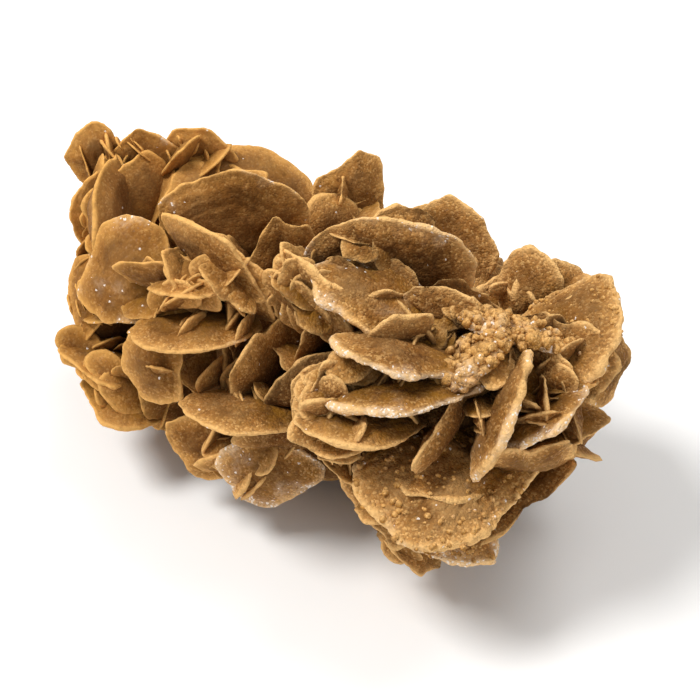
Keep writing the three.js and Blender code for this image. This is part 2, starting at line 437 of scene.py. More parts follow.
def measured_blade(node):
    """The plain shape of a CAD blade. Its face is the direction that most of its area looks
    along, its centre is the centre of its volume, and its reach, middle and half thickness
    are read off its triangles. A cut edge grows on a little, into the blade that cut it, and
    the side that faces the long axis grows deeper, so that the blade stands in the cluster."""
    corners = triangles(node)
    cross = np.cross(corners[:, 1] - corners[:, 0], corners[:, 2] - corners[:, 0])
    area = np.linalg.norm(cross, axis=1)
    volume = (corners[:, 0] * np.cross(corners[:, 1], corners[:, 2])).sum(1)
    centre = (corners.sum(1) * volume[:, None]).sum(0) / (4 * volume.sum())
    face = np.linalg.eigh((cross / np.maximum(area, 1e-15)[:, None]).T @ cross)[1][:, 2]
    face = face if face @ (centre - ENVELOPE.axis) > 0 else -face
    axes = upright_axes(face)
    local = (corners - centre) @ axes.T
    flat, rise = local[..., :2], local[..., 2]
    reach = outline(flat)
    ring, angle = disc_grid(COARSE)
    inner = 0.985 * ring * round_table(reach, angle)
    points = np.stack([inner * np.cos(angle), inner * np.sin(angle)], axis=-1)
    low, high = cover(flat, rise, points.reshape(-1, 2))
    half = soften(((high - low) / 2).reshape(COARSE, COARSE), COARSE_BLURS)
    middle = soften(((high + low) / 2).reshape(COARSE, COARSE), COARSE_BLURS)
    turn = np.arange(DIRECTIONS) / DIRECTIONS * math.tau
    rim = 0.95 * reach[:, None] * np.stack([np.cos(turn), np.sin(turn)], axis=-1)
    low, high = cover(flat, rise, rim)
    cut = smoothstep(1.5 * MM, 2.4 * MM, np.nan_to_num((high - low) / 2))
    way_in = ACROSS_THE_AXIS * (ENVELOPE.axis - centre)
    inward = axes[:2] @ way_in / np.linalg.norm(way_in)
    deeper = np.clip(inward @ np.stack([np.cos(turn), np.sin(turn)]), 0, 1) ** 2
    reach = blur_along((reach + 2 * MM * cut) * (1 + INWARD_GROWTH * deeper), 0, 4, 1.6)
    return {"centre": centre, "axes": axes, "reach": reach, "middle": middle, "half": half}


def lens_blade(centre, face, turn, span, thick, square):
    """The plain shape of a free blade: a rounded outline (|x|^s + |y|^s = 1 stretched to the
    span, its long axis turned from level) and a half thickness that thins by rr to the rim."""
    level, wide, face = upright_axes(np.asarray(face, float) / np.linalg.norm(face))
    long = level * math.cos(turn) + wide * math.sin(turn)
    angle = np.arange(DIRECTIONS) / DIRECTIONS * math.tau
    across = abs(np.cos(angle) / (span[0] / 2)) ** square
    up = abs(np.sin(angle) / (span[1] / 2)) ** square
    ring = disc_grid(COARSE)[0]
    return {
        "centre": np.asarray(centre, float),
        "axes": np.stack([long, np.cross(face, long), face]),
        "reach": (across + up) ** (-1 / square),
        "middle": np.zeros_like(ring),
        "half": thick / 2 * (1 - 0.5 * ring ** 2),
    }


# ---------------------------------------------------------------- the grown surface

def closed_grid(count):
    """The quads of two square grids back to back, which share their border."""
    top = np.arange(count * count).reshape(count, count)
    under = top.copy()
    under[1:-1, 1:-1] = count * count + np.arange((count - 2) ** 2).reshape(count - 2, -1)
    quads = []
    for grid, order in ((top, (0, 1, 2, 3)), (under, (3, 2, 1, 0))):
        around = (grid[:-1, :-1], grid[1:, :-1], grid[1:, 1:], grid[:-1, 1:])
        quads.append(np.stack([around[k] for k in order], axis=-1).reshape(-1, 4))
    return np.concatenate(quads)


def closed_values(top, under):
    """The values of two square grids in the order that closed_grid numbers them."""
    tail = top.shape[2:]
    return np.concatenate([top.reshape(-1, *tail), under[1:-1, 1:-1].reshape(-1, *tail)])


def angular(angle, straightness, seed):
    """How much a crystal's straight edges change a round reach. Its edges are lines at
    distances d, square to directions a, so its reach is 1 / max(cos(angle - a) / d), and a
    high power in place of the maximum blunts the corners."""
    rng = np.random.default_rng(seed)
    sides = rng.integers(4, 7)
    square_to = (np.arange(sides) + rng.uniform(-0.25, 0.25, sides)) / sides * math.tau + seed
    distance = rng.uniform(0.8, 1.0, sides)
    lines = np.clip(np.cos(angle[..., None] - square_to) / distance, 0, None)
    polygon = (lines ** CORNER_POWER).sum(-1) ** (-1 / CORNER_POWER)
    polygon = np.minimum(polygon / polygon.mean(), LONGEST_CORNER)
    return 1 + straightness * (polygon - 1)


def terraces(inward, level, seed):
    """How many growth layers lie on a blade's face, 0 at the rim: each starts a terrace's
    width farther in than the last, at a wandering line, and steps up steeply."""
    climb = np.maximum(inward / TERRACE_WIDTH + 0.9 * lattice_noise(level, 10 * MM, seed), 0)
    climb = np.minimum(climb, MOST_TERRACES)
    return np.floor(climb) + smoothstep(0.8, 1, climb - np.floor(climb))


def grow(shape, spacing, rim_radius, seed, crust=0.0, sugar=0.0, straightness=1.0):
    """A blade's fine surface: (x, y) run out to a ragged reach on a disc grid, and each side
    stands half a thickness from the middle, thinned to the rim, terraced by growth layers and
    rounded at the rim by sqrt(1 - (1 - d/r)^2). Lumps and knobs then push each point out."""
    count = int(np.clip(2 * shape["reach"].mean() / spacing, FEWEST_LINES, MOST_LINES)) | 1
    ring, angle = disc_grid(count)
    share = ring * (1 + RIM_CROWDING * (1 - ring))
    ray = np.stack([np.cos(angle), np.sin(angle)], axis=-1)
    reach = round_table(shape["reach"], angle) * angular(angle, straightness, seed)
    rim_place = np.concatenate([ray * reach[..., None], np.full((count, count, 1), seed * 11 * MM)], -1)
    reach = reach + layered(rim_place, RAGS, seed)
    inward = (1 - share) * reach
    rounding = np.sqrt(1 - (1 - np.clip(inward / rim_radius, 0, 1)) ** 2)
    level = share[..., None] * reach[..., None] * ray
    flat_place = np.concatenate([level, rim_place[..., 2:]], -1)
    bow = 0.7 * MM * lattice_noise(flat_place, 22 * MM, seed)
    middle = resample(shape["middle"], count) + bow
    taper = 0.3 + 0.7 * smoothstep(0, 8 * MM, inward)
    half = np.maximum(resample(shape["half"], count) * taper, rim_radius * 0.95)
    outward = ray @ shape["axes"][:2]
    sides = []
    for side in (1, -1):
        layers = TERRACE_HEIGHT * terraces(inward, flat_place, 2 * seed + side)
        local = np.concatenate([level, (middle + side * (half * rounding + layers))[..., None]], -1)
        points = shape["centre"] + local @ shape["axes"]
        normal = side * shape["axes"][2] * rounding[..., None] + outward * (1 - rounding)[..., None]
        normal /= np.linalg.norm(normal, axis=-1, keepdims=True)
        grit = smoothstep(SMOOTH_END, GRITTY_END, points[..., 0])
        crumble = 0.7 + 0.6 * grit + rim_radius / MM * np.exp(-inward / (2 * MM)) * (0.4 + 0.5 * grit)
        relief = layered(points, LUMPS, 40) * crumble
        if crust:
            wander = 1.6 * MM * np.stack([lattice_noise(points, 3.5 * MM, 95 + k) for k in range(3)], -1)
            patch = smoothstep(-0.3, 0.4, lattice_noise(points, 9 * MM, 91) + 1.2 * crust - 0.8)
            large = smoothstep(-0.2, 0.5, lattice_noise(points, 6 * MM, 93))
            knob = (knobs(points + wander, 3.4 * MM, 60) * large
                    + 0.5 * knobs(points + wander, 1.9 * MM, 66) + 0.25 * knobs(points, 1.1 * MM, 72))
            relief = relief + crust * patch * (1.4 * knob - 0.4) * MM
        points = points + normal * relief[..., None]
        sides.append((points, normal, relief))
    points, normal, relief = (closed_values(a, b) for a, b in zip(*sides))
    points[:, 2] = np.maximum(points[:, 2], GROUND_GAP)
    inward = closed_values(inward, inward)
    # How much stone stands in front of each point: it paints shade between the blades, and with an upward
    # face it also marks where dust settles.
    hollow = CROWDING.at(points + 5 * MM * normal)
    patch = lattice_noise(points, 8 * MM, 17) + 0.5 * lattice_noise(points, 3 * MM, 18)
    fields = {
        # Near the rim: the pale rim colour, partly wear and partly a painted highlight.
        "rim": np.exp(-inward / (1.6 * MM)),
        # Distance in from the rim: it drives the painted shade on the middle of a face.
        "inner": smoothstep(0.5 * MM, 9 * MM, inward),
        "hollow": hollow,
        "dust": smoothstep(0.1, 0.9, normal[:, 2]) * smoothstep(0.25, 0.8, hollow),
        "sugar": smoothstep(0, 0.9, 0.6 * patch + sugar * (0.7 + 1.3 * np.exp(-inward / (2.5 * MM))) - 0.6),
        # The height of the lumps: it paints highlights on crests and shade in pits.
        "relief": np.clip(relief / MM, -1, 1),
        "grit": smoothstep(SMOOTH_END, GRITTY_END, points[:, 0]),
    }
    return points, closed_grid(count), fields, normal


def join(parts):
    """Several surfaces as one: their points, their quads renumbered, and their fields."""
    start = np.cumsum([0] + [len(p[0]) for p in parts])
    points = np.concatenate([p[0] for p in parts])
    quads = np.concatenate([p[1] + s for p, s in zip(parts, start)])
    fields = {k: np.concatenate([p[2][k] for p in parts]) for k in parts[0][2]}
    return points, quads, fields


def add_piece(name, surface, material, nodes=()):
    """Puts a surface into the scene as one piece that rides on the body."""
    points, quads, fields = surface[:3]
    mesh = bpy.data.meshes.new(name)
    mesh.vertices.add(len(points))
    mesh.vertices.foreach_set("co", points.astype(np.float32).ravel())
    mesh.loops.add(quads.size)
    mesh.loops.foreach_set("vertex_index", quads.astype(np.int32).ravel())
    mesh.polygons.add(len(quads))
    mesh.polygons.foreach_set("loop_start", np.arange(0, quads.size, 4, dtype=np.int32))
    for field, values in fields.items():
        layer = mesh.attributes.new(field, "FLOAT", "POINT")
        layer.data.foreach_set("value", values.astype(np.float32))
    mesh.update(calc_edges=True)
    mesh.polygons.foreach_set("use_smooth", np.ones(len(quads), bool))
    mesh.materials.append(material)
    piece = bpy.data.objects.new(name, mesh)
    bpy.context.scene.collection.objects.link(piece)
    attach(piece, "root")
    if nodes:
        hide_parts(*nodes)
    return piece


# ---------------------------------------------------------------- materials

def linear(code):
    """The linear colour of an sRGB hex code such as B98A55."""
    values = [int(code[i:i + 2], 16) / 255 for i in (0, 2, 4)]
    return [v / 12.92 if v <= 0.04045 else ((v + 0.055) / 1.055) ** 2.4 for v in values]


def add_node(tree, kind, inputs=None, **settings):
    """Adds a node, with its settings, and each input either linked to a socket or set."""
    node = tree.nodes.new(kind)
    for name, value in settings.items():
        setattr(node, name, value)
    for name, value in (inputs or {}).items():
        if isinstance(value, bpy.types.NodeSocket):
            tree.links.new(value, node.inputs[name])
        else:
            node.inputs[name].default_value = value
    return node


def ramp(tree, factor, stops):
    """A colour ramp through (place, linear colour) stops."""
    node = add_node(tree, "ShaderNodeValToRGB", {"Fac": factor})
    elements = node.color_ramp.elements
    while len(elements) < len(stops):
        elements.new(0.5)
    for element, (place, colour) in zip(elements, stops):
        element.position = place
        element.color = (*colour, 1)
    return node.outputs["Color"]


def mix(tree, factor, one, two, blend="MIX"):
    """Mixes two colours by a factor."""
    node = add_node(tree, "ShaderNodeMix", data_type="RGBA", blend_type=blend)
    for socket, value in ((node.inputs[0], factor), (node.inputs[6], one), (node.inputs[7], two)):
        if isinstance(value, bpy.types.NodeSocket):
            tree.links.new(value, socket)
        else:
            socket.default_value = value if isinstance(value, float) else (*value, 1)
    return node.outputs[2]


def reckon(tree, operation, *values):
    """One sum on numbers, held between 0 and 1."""
    inputs = dict(enumerate(values))
    return add_node(tree, "ShaderNodeMath", inputs, operation=operation, use_clamp=True).outputs[0]


GYPSUM_IOR = 1.52
BUMP_DEPTH = 0.7 * MM
FLOOR_MOTTLE = 60 * MM


def gypsum(name, colours, grain, painted_shade):
    """Sand-filled gypsum: grains of quartz sand cemented by gypsum, so it is matt and gritty
    like coarse sandpaper, with a tone for each grain, pale rims that are partly wear and partly
    a painted highlight, painted highlights on the crests and painted shade in the pits of its
    relief, painted shade on the middle of each face and dark brown painted shade in the hollows
    between blades, ochre dust where it can settle, and white sugary gypsum where the sand has gone."""
    material = bpy.data.materials.new(name)
    material.use_nodes = True
    tree = material.node_tree
    tree.nodes.clear()
    place = add_node(tree, "ShaderNodeTexCoord").outputs["Object"]
    field = {k: add_node(tree, "ShaderNodeAttribute", attribute_name=k).outputs["Fac"]
             for k in ("rim", "inner", "hollow", "dust", "sugar", "relief", "grit")}

    def noise(size, detail, socket="Fac"):
        inputs = {"Vector": place, "Scale": 1 / size, "Detail": detail, "Roughness": 0.6}
        return add_node(tree, "ShaderNodeTexNoise", inputs).outputs[socket]

    cells = add_node(tree, "ShaderNodeTexVoronoi", {"Vector": place, "Scale": 1 / grain})
    coarse = add_node(tree, "ShaderNodeTexVoronoi", {"Vector": place, "Scale": 1 / (2.3 * grain)})
    speck = add_node(tree, "ShaderNodeSeparateColor", {0: cells.outputs["Color"]}).outputs
    clump = add_node(tree, "ShaderNodeSeparateColor", {0: coarse.outputs["Color"]}).outputs

    broad = ramp(tree, noise(13 * MM, 4.0),
                 [(0.36, colours["brown"]), (0.5, colours["tan"]), (0.66, colours["pale"])])
    grains = ramp(tree, speck[0],
                  [(0.0, colours["dark"]), (0.25, colours["brown"]), (0.7, colours["tan"]),
                   (0.95, colours["cream"])])
    clumps = ramp(tree, clump[1],
                  [(0.0, colours["brown"]), (0.6, colours["tan"]), (1.0, colours["pale"])])
    colour = mix(tree, reckon(tree, "MULTIPLY_ADD", field["grit"], 0.5, 0.3), broad, grains)
    colour = mix(tree, 0.3, colour, clumps)
    # Pale rims: partly wear, partly a painted highlight where the rims catch the light, broken up by noise.
    wear_and_highlight = reckon(tree, "MULTIPLY", field["rim"],
                  reckon(tree, "MULTIPLY_ADD", noise(2.2 * MM, 2.0), 1.8, 0.05))
    # Painted shade: away from its lit rim, the middle of a face is darkened in blotches towards the face
    # shade colour.
    face_shade = reckon(tree, "MULTIPLY", field["inner"],
                     reckon(tree, "MULTIPLY_ADD", noise(9 * MM, 3.0), 1.6, 0.0))
    colour = mix(tree, reckon(tree, "MULTIPLY", face_shade, 0.85), colour, colours["stain"])
    rim_colour = mix(tree, field["grit"], colours["gold"], colours["cream"])
    colour = mix(tree, reckon(tree, "MULTIPLY", wear_and_highlight, 0.9), colour, rim_colour)
    # Painted highlight: the crests of the relief are lightened towards cream.
    crest_highlight = reckon(tree, "MULTIPLY_ADD", field["relief"], 0.5, 0.1)
    colour = mix(tree, reckon(tree, "MULTIPLY", crest_highlight, 0.4), colour, colours["cream"])
    # Painted shade: the pits of the relief are darkened towards the dark grain colour.
    low = reckon(tree, "MULTIPLY_ADD", field["relief"], -1.3, -0.1)
    colour = mix(tree, reckon(tree, "MULTIPLY", low, 0.6), colour, colours["dark"])
    dusty = reckon(tree, "MULTIPLY", field["dust"],
                   reckon(tree, "MULTIPLY_ADD", noise(4 * MM, 3.0), 3.0, -1.0))
    colour = mix(tree, reckon(tree, "MULTIPLY", dusty, 0.75), colour, colours["ochre"])
    # Painted shade: the more stone stands in front of a point, the further its colour goes to the dark brown
    # painted shade colour, standing in for the shade between the blades.
    shade = reckon(tree, "MULTIPLY_ADD", field["hollow"], 1.5, -0.62)
    colour = mix(tree, reckon(tree, "MULTIPLY", shade, painted_shade), colour, colours["painted_shade"])
    bare = reckon(tree, "MULTIPLY", field["sugar"],
                  reckon(tree, "MULTIPLY_ADD", noise(1.6 * MM, 3.0), 2.4, -0.7))
    colour = mix(tree, reckon(tree, "MULTIPLY", bare, 0.75), colour, colours["bare"])
    white = reckon(tree, "GREATER_THAN", reckon(tree, "MULTIPLY_ADD", field["sugar"], 0.15, speck[1]), 0.999)
    white = reckon(tree, "MULTIPLY", white, 0.75)
    colour = mix(tree, white, colour, colours["white"])

    rough = reckon(tree, "MULTIPLY_ADD", white, -0.45, 0.9)
    rough = reckon(tree, "MULTIPLY_ADD", reckon(tree, "GREATER_THAN", speck[2], 0.95), -0.4, rough)
    grit = reckon(tree, "MULTIPLY_ADD", cells.outputs["Distance"], -0.9, 0.8)
    lumps = reckon(tree, "MULTIPLY_ADD", coarse.outputs["Distance"], -0.8, 0.8)
    height = reckon(tree, "MULTIPLY_ADD", lumps, 0.55, reckon(tree, "MULTIPLY", grit, 0.45))
    bump = add_node(tree, "ShaderNodeBump",
                    {"Height": height, "Distance": BUMP_DEPTH,
                     "Strength": reckon(tree, "MULTIPLY_ADD", field["grit"], 0.7, 0.3)})
    shader = add_node(tree, "ShaderNodeBsdfPrincipled",
                      {"Base Color": colour, "Roughness": rough, "IOR": GYPSUM_IOR, "Specular IOR Level": 0.2,
                       "Normal": bump.outputs["Normal"]})
    add_node(tree, "ShaderNodeOutputMaterial", {"Surface": shader.outputs["BSDF"]})
    return material


def floor_paint(colour):
    """Matt studio paint: a pale, even roller finish with a very slight unevenness of tone."""
    material = bpy.data.materials.new("matt_studio_paint")
    material.use_nodes = True
    tree = material.node_tree
    tree.nodes.clear()
    place = add_node(tree, "ShaderNodeTexCoord").outputs["Object"]
    noise = add_node(tree, "ShaderNodeTexNoise", {"Vector": place, "Scale": 1 / FLOOR_MOTTLE, "Detail": 3.0})
    tone = mix(tree, noise.outputs["Fac"], colour, [0.97 * v for v in colour])
    shader = add_node(tree, "ShaderNodeBsdfPrincipled", {"Base Color": tone, "Roughness": 0.85})
    add_node(tree, "ShaderNodeOutputMaterial", {"Surface": shader.outputs["BSDF"]})
    return material


# ---------------------------------------------------------------- settings

class SandRoseSettings(bpy.types.PropertyGroup):
    """The sizes and colours of the sand rose that a user would change."""

    spacing: FloatProperty(name="Grid spacing", description="Distance between the lines of a blade's surface",
                           default=0.55 * MM, min=0.2 * MM, unit="LENGTH", precision=5)
    rim_radius: FloatProperty(name="Rim rounding", description="Radius that rounds the rim of a blade",
                              default=0.6 * MM, min=0.2 * MM, unit="LENGTH", precision=5)
    grain: FloatProperty(name="Sand grain", description="Width of one grain of sand on the surface",
                         default=0.65 * MM, min=0.1 * MM, unit="LENGTH", precision=5)
    inner_blades: IntProperty(name="Inner blades", description="How many unnamed blades fill the cluster",
                              default=150, min=0)
    twins: IntProperty(name="Twins", description="How many smaller blades grow through each broad one",
                       default=1, min=0)
    nodules: IntProperty(name="Nodules", description="How many loose nodules stand on the sand crust",
                         default=520, min=0)
    tan: FloatVectorProperty(name="Tan", description="Main colour of the sandy gypsum",
                             default=linear("A46B2A"), subtype="COLOR", min=0, max=1)
    brown: FloatVectorProperty(name="Brown", description="Colour of its browner parts",
                               default=linear("784713"), subtype="COLOR", min=0, max=1)
    pale: FloatVectorProperty(name="Pale", description="Colour of its paler parts",
                              default=linear("C28A3E"), subtype="COLOR", min=0, max=1)
    # Cream is also the painted highlight on rims and on the crests of the relief.
    cream: FloatVectorProperty(name="Cream", description="Colour of worn rims and pale grains",
                               default=linear("F0C07C"), subtype="COLOR", min=0, max=1)
    # Gold rims are partly wear and partly a painted highlight.
    gold: FloatVectorProperty(name="Gold", description="Colour of the rims of the smoother blades",
                              default=linear("E8AE5C"), subtype="COLOR", min=0, max=1)
    # Dark is also the painted shade in the pits of the relief.
    dark: FloatVectorProperty(name="Dark", description="Colour of dark grains and pits",
                              default=linear("3E2409"), subtype="COLOR", min=0, max=1)
    # The painted shade colour: the dark brown that is painted into the hollows between blades.
    painted_shade: FloatVectorProperty(name="Deep", description="Colour of the stone deep between blades",
                              default=linear("2E1905"), subtype="COLOR", min=0, max=1)
    ochre: FloatVectorProperty(name="Ochre", description="Colour of the dust in the hollows",
                               default=linear("A87214"), subtype="COLOR", min=0, max=1)
    # The painted shade colour for the middle of a blade's face.
    stain: FloatVectorProperty(name="Stain", description="Colour of the middle of a blade's face",
                               default=linear("5F3B15"), subtype="COLOR", min=0, max=1)
    bare: FloatVectorProperty(name="Bare", description="Colour of gypsum that has lost its sand",
                              default=linear("EAD2B4"), subtype="COLOR", min=0, max=1)
    white: FloatVectorProperty(name="White", description="Colour of bare sugary gypsum",
                               default=linear("F4EADF"), subtype="COLOR", min=0, max=1)
    floor: FloatVectorProperty(name="Floor", description="Colour of the studio floor",
                               default=linear("F4F3F1"), subtype="COLOR", min=0, max=1)


COLOURS = ("tan", "brown", "pale", "cream", "gold", "dark", "painted_shade", "ochre", "stain", "bare", "white")


# The material of each record slot
STONES = {"sandy_gypsum": "sand_filled_gypsum", "dark_gypsum": "stained_sand_filled_gypsum",
          "sand_crust": "gypsum_cemented_sand"}


def finish(context, slot):
    """The material of a record slot, made the first time that it is asked for."""
    if STONES[slot] in bpy.data.materials:
        return bpy.data.materials[STONES[slot]]
    settings = context.scene.sand_rose
    colours = {k: tuple(getattr(settings, k)) for k in COLOURS}
    # How strongly each finish paints shade into its hollows.
    painted_shade = {"sandy_gypsum": 0.75, "dark_gypsum": 0.95, "sand_crust": 0.6}[slot]
    if slot == "dark_gypsum":
        colours["tan"], colours["pale"] = colours["brown"], colours["tan"]
    if slot == "sand_crust":
        colours["tan"] = colours["pale"]
    return gypsum(STONES[slot], colours, settings.grain, painted_shade)


# ---------------------------------------------------------------- operators

SLOTS = {part["node"]: part["material_slot"] for part in frame["record"]["subparts"]}


def grown_node(node, settings):
    """The fine surface of a CAD blade, with its own crust, sugar, rim and straightness. The
    heart shows only in gaps, so its grid is twice as wide."""
    straightness = SMOOTH_STRAIGHTNESS if node in SMOOTH_EDGED else EDGE_STRAIGHTNESS
    spacing = settings.spacing * (2 if node.startswith("heart") else 1)
    return grow(measured_blade(node), spacing, settings.rim_radius * ROUNDER.get(node, 1.0),
                sorted(frame["nodes"]).index(node), CRUST.get(node, 0.0), SUGAR.get(node, 0.0), straightness)


class SANDROSE_OT_blades(bpy.types.Operator):
    """Grow every blade of the frame as a fine sandy surface in its own place"""

    bl_idname = "sand_rose.blades"
    bl_label = "Blades"

    def execute(self, context):
        settings = context.scene.sand_rose
        for node in sorted(frame["nodes"]):
            slot = SLOTS[node]
            add_piece(node + "_blade", grown_node(node, settings), finish(context, slot), [node])
        return {"FINISHED"}


def free_sizes(sizes, rng):
    """A seeded length, width, thickness and squareness within a kind of blade's ranges."""
    length = rng.uniform(*sizes["length"]) * MM
    width = length * rng.uniform(*sizes["width"])
    thick = rng.uniform(*sizes["thick"]) * MM
    return length, width, thick, rng.uniform(*sizes["square"])


def turned_blade(centre, face, length, sizes, rng):
    """A free blade of a given length, turned anyhow in its own plane, its other sizes seeded."""
    turn = rng.uniform(0, math.pi)
    width = length * rng.uniform(*sizes["width"])
    thick = rng.uniform(*sizes["thick"]) * MM
    return lens_blade(centre, face, turn, (length, width), thick, rng.uniform(*sizes["square"]))


def wall_blades(host, rng):
    """Pairs of small blades that meet in a V on the shown face of a broad one. Both share a hinge
    line in its face and lean off it to opposite sides, and a pair grows only in a crowded place."""
    face = host["axes"][2] * np.sign(host["axes"][2] @ SHOWN_SIDE)
    shapes = []
    for _ in range(WALL_TRIES):
        angle, turn = rng.uniform(0, math.tau, 2)
        out = math.cos(angle) * host["axes"][0] + math.sin(angle) * host["axes"][1]
        hinge = math.cos(turn) * host["axes"][0] + math.sin(turn) * host["axes"][1]
        reach = round_table(host["reach"], np.array([angle]))[0] * math.sqrt(rng.uniform(0.05, 0.8))
        foot = host["centre"] + out * reach + face * 2 * MM
        for side in (1, -1):
            lean = side * rng.uniform(*WALL["lean"]) * DEGREE
            lean_face = face * math.cos(lean) + np.cross(hinge, face) * math.sin(lean)
            length, width, thick, square = free_sizes(WALL, rng)
            centre = foot + np.cross(hinge, lean_face) * width * 0.3
            if CROWDING.at(foot + face * 5 * MM) < WALL_CROWDING:
                continue
            axes = upright_axes(lean_face)
            shape = lens_blade(centre, axes[2], math.atan2(hinge @ axes[1], hinge @ axes[0]),
                               (length, width), thick, square)
            keep_inside(shape, WALL_LIMIT)
            shapes.append(shape)
    return shapes


class SANDROSE_OT_small_blades(bpy.types.Operator):
    """Grow the small blades that stand between the broad ones, one piece for each region"""

    bl_idname = "sand_rose.small_blades"
    bl_label = "Small blades"

    SEED = 64
    FIRST_BLADE_SEED = 201
    SPACING_SHARE = 1.5
    RIM_SHARE = 0.85

    def execute(self, context):
        settings = context.scene.sand_rose
        rng = np.random.default_rng(self.SEED)
        seeds = itertools.count(self.FIRST_BLADE_SEED)
        for name, hosts in SMALL_BLADE_HOSTS.items():
            shapes = [shape for host in hosts for shape in wall_blades(measured_blade(host), rng)]
            parts = [grow(shape, settings.spacing * self.SPACING_SHARE, settings.rim_radius * self.RIM_SHARE,
                          seed, straightness=EDGE_STRAIGHTNESS)
                     for shape, seed in zip(shapes, seeds)]
            add_piece(name, join(parts), finish(context, "sandy_gypsum"))
        return {"FINISHED"}


def add_groups(context, name, shapes, groups, **grown):
    """Sorts free blades along the cluster into groups of like size, and adds each group as one
    piece: grown holds the grid spacing and rim radius as shares of the settings, the first
    blade's seed and the straightness."""
    settings = context.scene.sand_rose
    shapes.sort(key=lambda shape: shape["centre"][0])
    for group, members in enumerate(np.array_split(np.arange(len(shapes)), groups)):
        parts = [grow(shapes[i], settings.spacing * grown["spacing"], settings.rim_radius * grown["rim"],
                      grown["seed"] + i, straightness=grown["straightness"])
                 for i in members]
        add_piece(f"{name}_{group + 1}", join(parts), finish(context, "sandy_gypsum"))


def inner_blade(rng):
    """A blade at a random place in the cluster that stands on edge, as blades in a sand rose
    do: its face is square to the way out. Its rim is drawn in where it would stand proud."""
    x = rng.uniform(LOW[0] + INNER_END_GAP, HIGH[0] - INNER_END_GAP)
    around = rng.uniform(0, math.tau)
    out = np.array([0.0, math.cos(around), math.sin(around)])
    shown = out @ SHOWN_SIDE > -0.1
    axis_point = np.array([x, ENVELOPE.axis[1], ENVELOPE.axis[2]])
    reach = 1 / ENVELOPE.share(axis_point + out)
    depth = rng.uniform(*(INNER_DEPTH_SHOWN if shown else INNER_DEPTH_HIDDEN))
    centre = axis_point + out * depth * reach
    swing = rng.uniform(0, math.tau)
    face = np.array([math.cos(swing), 0, 0]) + math.sin(swing) * np.cross(out, [1, 0, 0])
    face = face + rng.uniform(-0.35, 0.35) * out
    shape = turned_blade(centre, face, rng.uniform(*INNER["length"]) * MM, INNER, rng)
    keep_inside(shape, INNER_LIMIT_SHOWN if shown else INNER_LIMIT_HIDDEN)
    return shape


def twin_blade(host, rng):
    """A smaller blade that grew through a broad one: it sits where the broad one runs into
    the cluster, its face swung well away from the other's, its rim kept inside the envelope."""
    inward = ENVELOPE.axis - host["centre"]
    inward[0] = 0
    flat = inward - (inward @ host["axes"][2]) * host["axes"][2]
    flat /= max(np.linalg.norm(flat), 1e-6)
    across = np.cross(host["axes"][2], flat)
    size = host["reach"].mean()
    centre = host["centre"] + size * (flat * rng.uniform(0.1, 0.7) + across * rng.uniform(-0.6, 0.6))
    hinge = flat * rng.uniform(0.5, 1) + across * rng.uniform(-0.6, 0.6)
    hinge /= np.linalg.norm(hinge)
    swing = rng.choice([-1, 1]) * rng.uniform(*TWIN["lean"]) * DEGREE
    face = host["axes"][2] * math.cos(swing) + np.cross(hinge, host["axes"][2]) * math.sin(swing)
    length = size * rng.uniform(*TWIN["length"])
    shape = turned_blade(centre, face, length, TWIN, rng)
    keep_inside(shape, TWIN_LIMIT_SHOWN if host["axes"][2] @ SHOWN_SIDE > 0 else TWIN_LIMIT_HIDDEN)
    return shape


def offshoots(host, rng):
    """A family of small blades that stand on a broad one. They share a hinge line in its face
    and lean the same way off it, half sunk in it, and grow only where the cluster is crowded,
    which leaves the free rims of the broad blades bare."""
    face = host["axes"][2]
    turn = rng.uniform(0, math.tau)
    hinge = math.cos(turn) * host["axes"][0] + math.sin(turn) * host["axes"][1]
    lean = rng.choice([-1, 1]) * rng.uniform(*OFFSHOOT["lean"]) * DEGREE
    lean_face = face * math.cos(lean) + np.cross(hinge, face) * math.sin(lean)
    shapes = []
    for _ in range(OFFSHOOT_TRIES):
        angle = rng.uniform(0, math.tau)
        out = math.cos(angle) * host["axes"][0] + math.sin(angle) * host["axes"][1]
        reach = round_table(host["reach"], np.array([angle]))[0] * math.sqrt(rng.uniform(0, 0.75))
        side = rng.choice([-1, 1])
        centre = host["centre"] + out * reach + side * face * 1.5 * MM
        crowding = CROWDING.at(centre + side * face * 5 * MM)
        jitter = rng.normal(0, 0.13, 3)
        length, width, thick, square = free_sizes(OFFSHOOT, rng)
        if crowding < OFFSHOOT_CROWDING - FAR_END_FREEDOM * (centre[0] < FAR_END_START):
            continue
        axes = upright_axes((lean_face + jitter) / np.linalg.norm(lean_face + jitter))
        shape = lens_blade(centre, axes[2], math.atan2(hinge @ axes[1], hinge @ axes[0]),
                           (length, width), thick, square)
        keep_inside(shape, OFFSHOOT_LIMIT)
        shapes.append(shape)
    return shapes


def keep_inside(shape, limit):
    """Draws a free blade's rim in wherever it would reach past a share of the envelope."""
    turn = np.arange(DIRECTIONS) / DIRECTIONS * math.tau
    ray = np.stack([np.cos(turn), np.sin(turn)], axis=-1) @ shape["axes"][:2]
    for _ in range(3):
        rim = shape["centre"] + ray * shape["reach"][:, None]
        over = ENVELOPE.share(rim) / limit
        shape["reach"] = blur_along(shape["reach"] * np.clip(1 / over, 0.72, 1), 0, 6, 3.0)


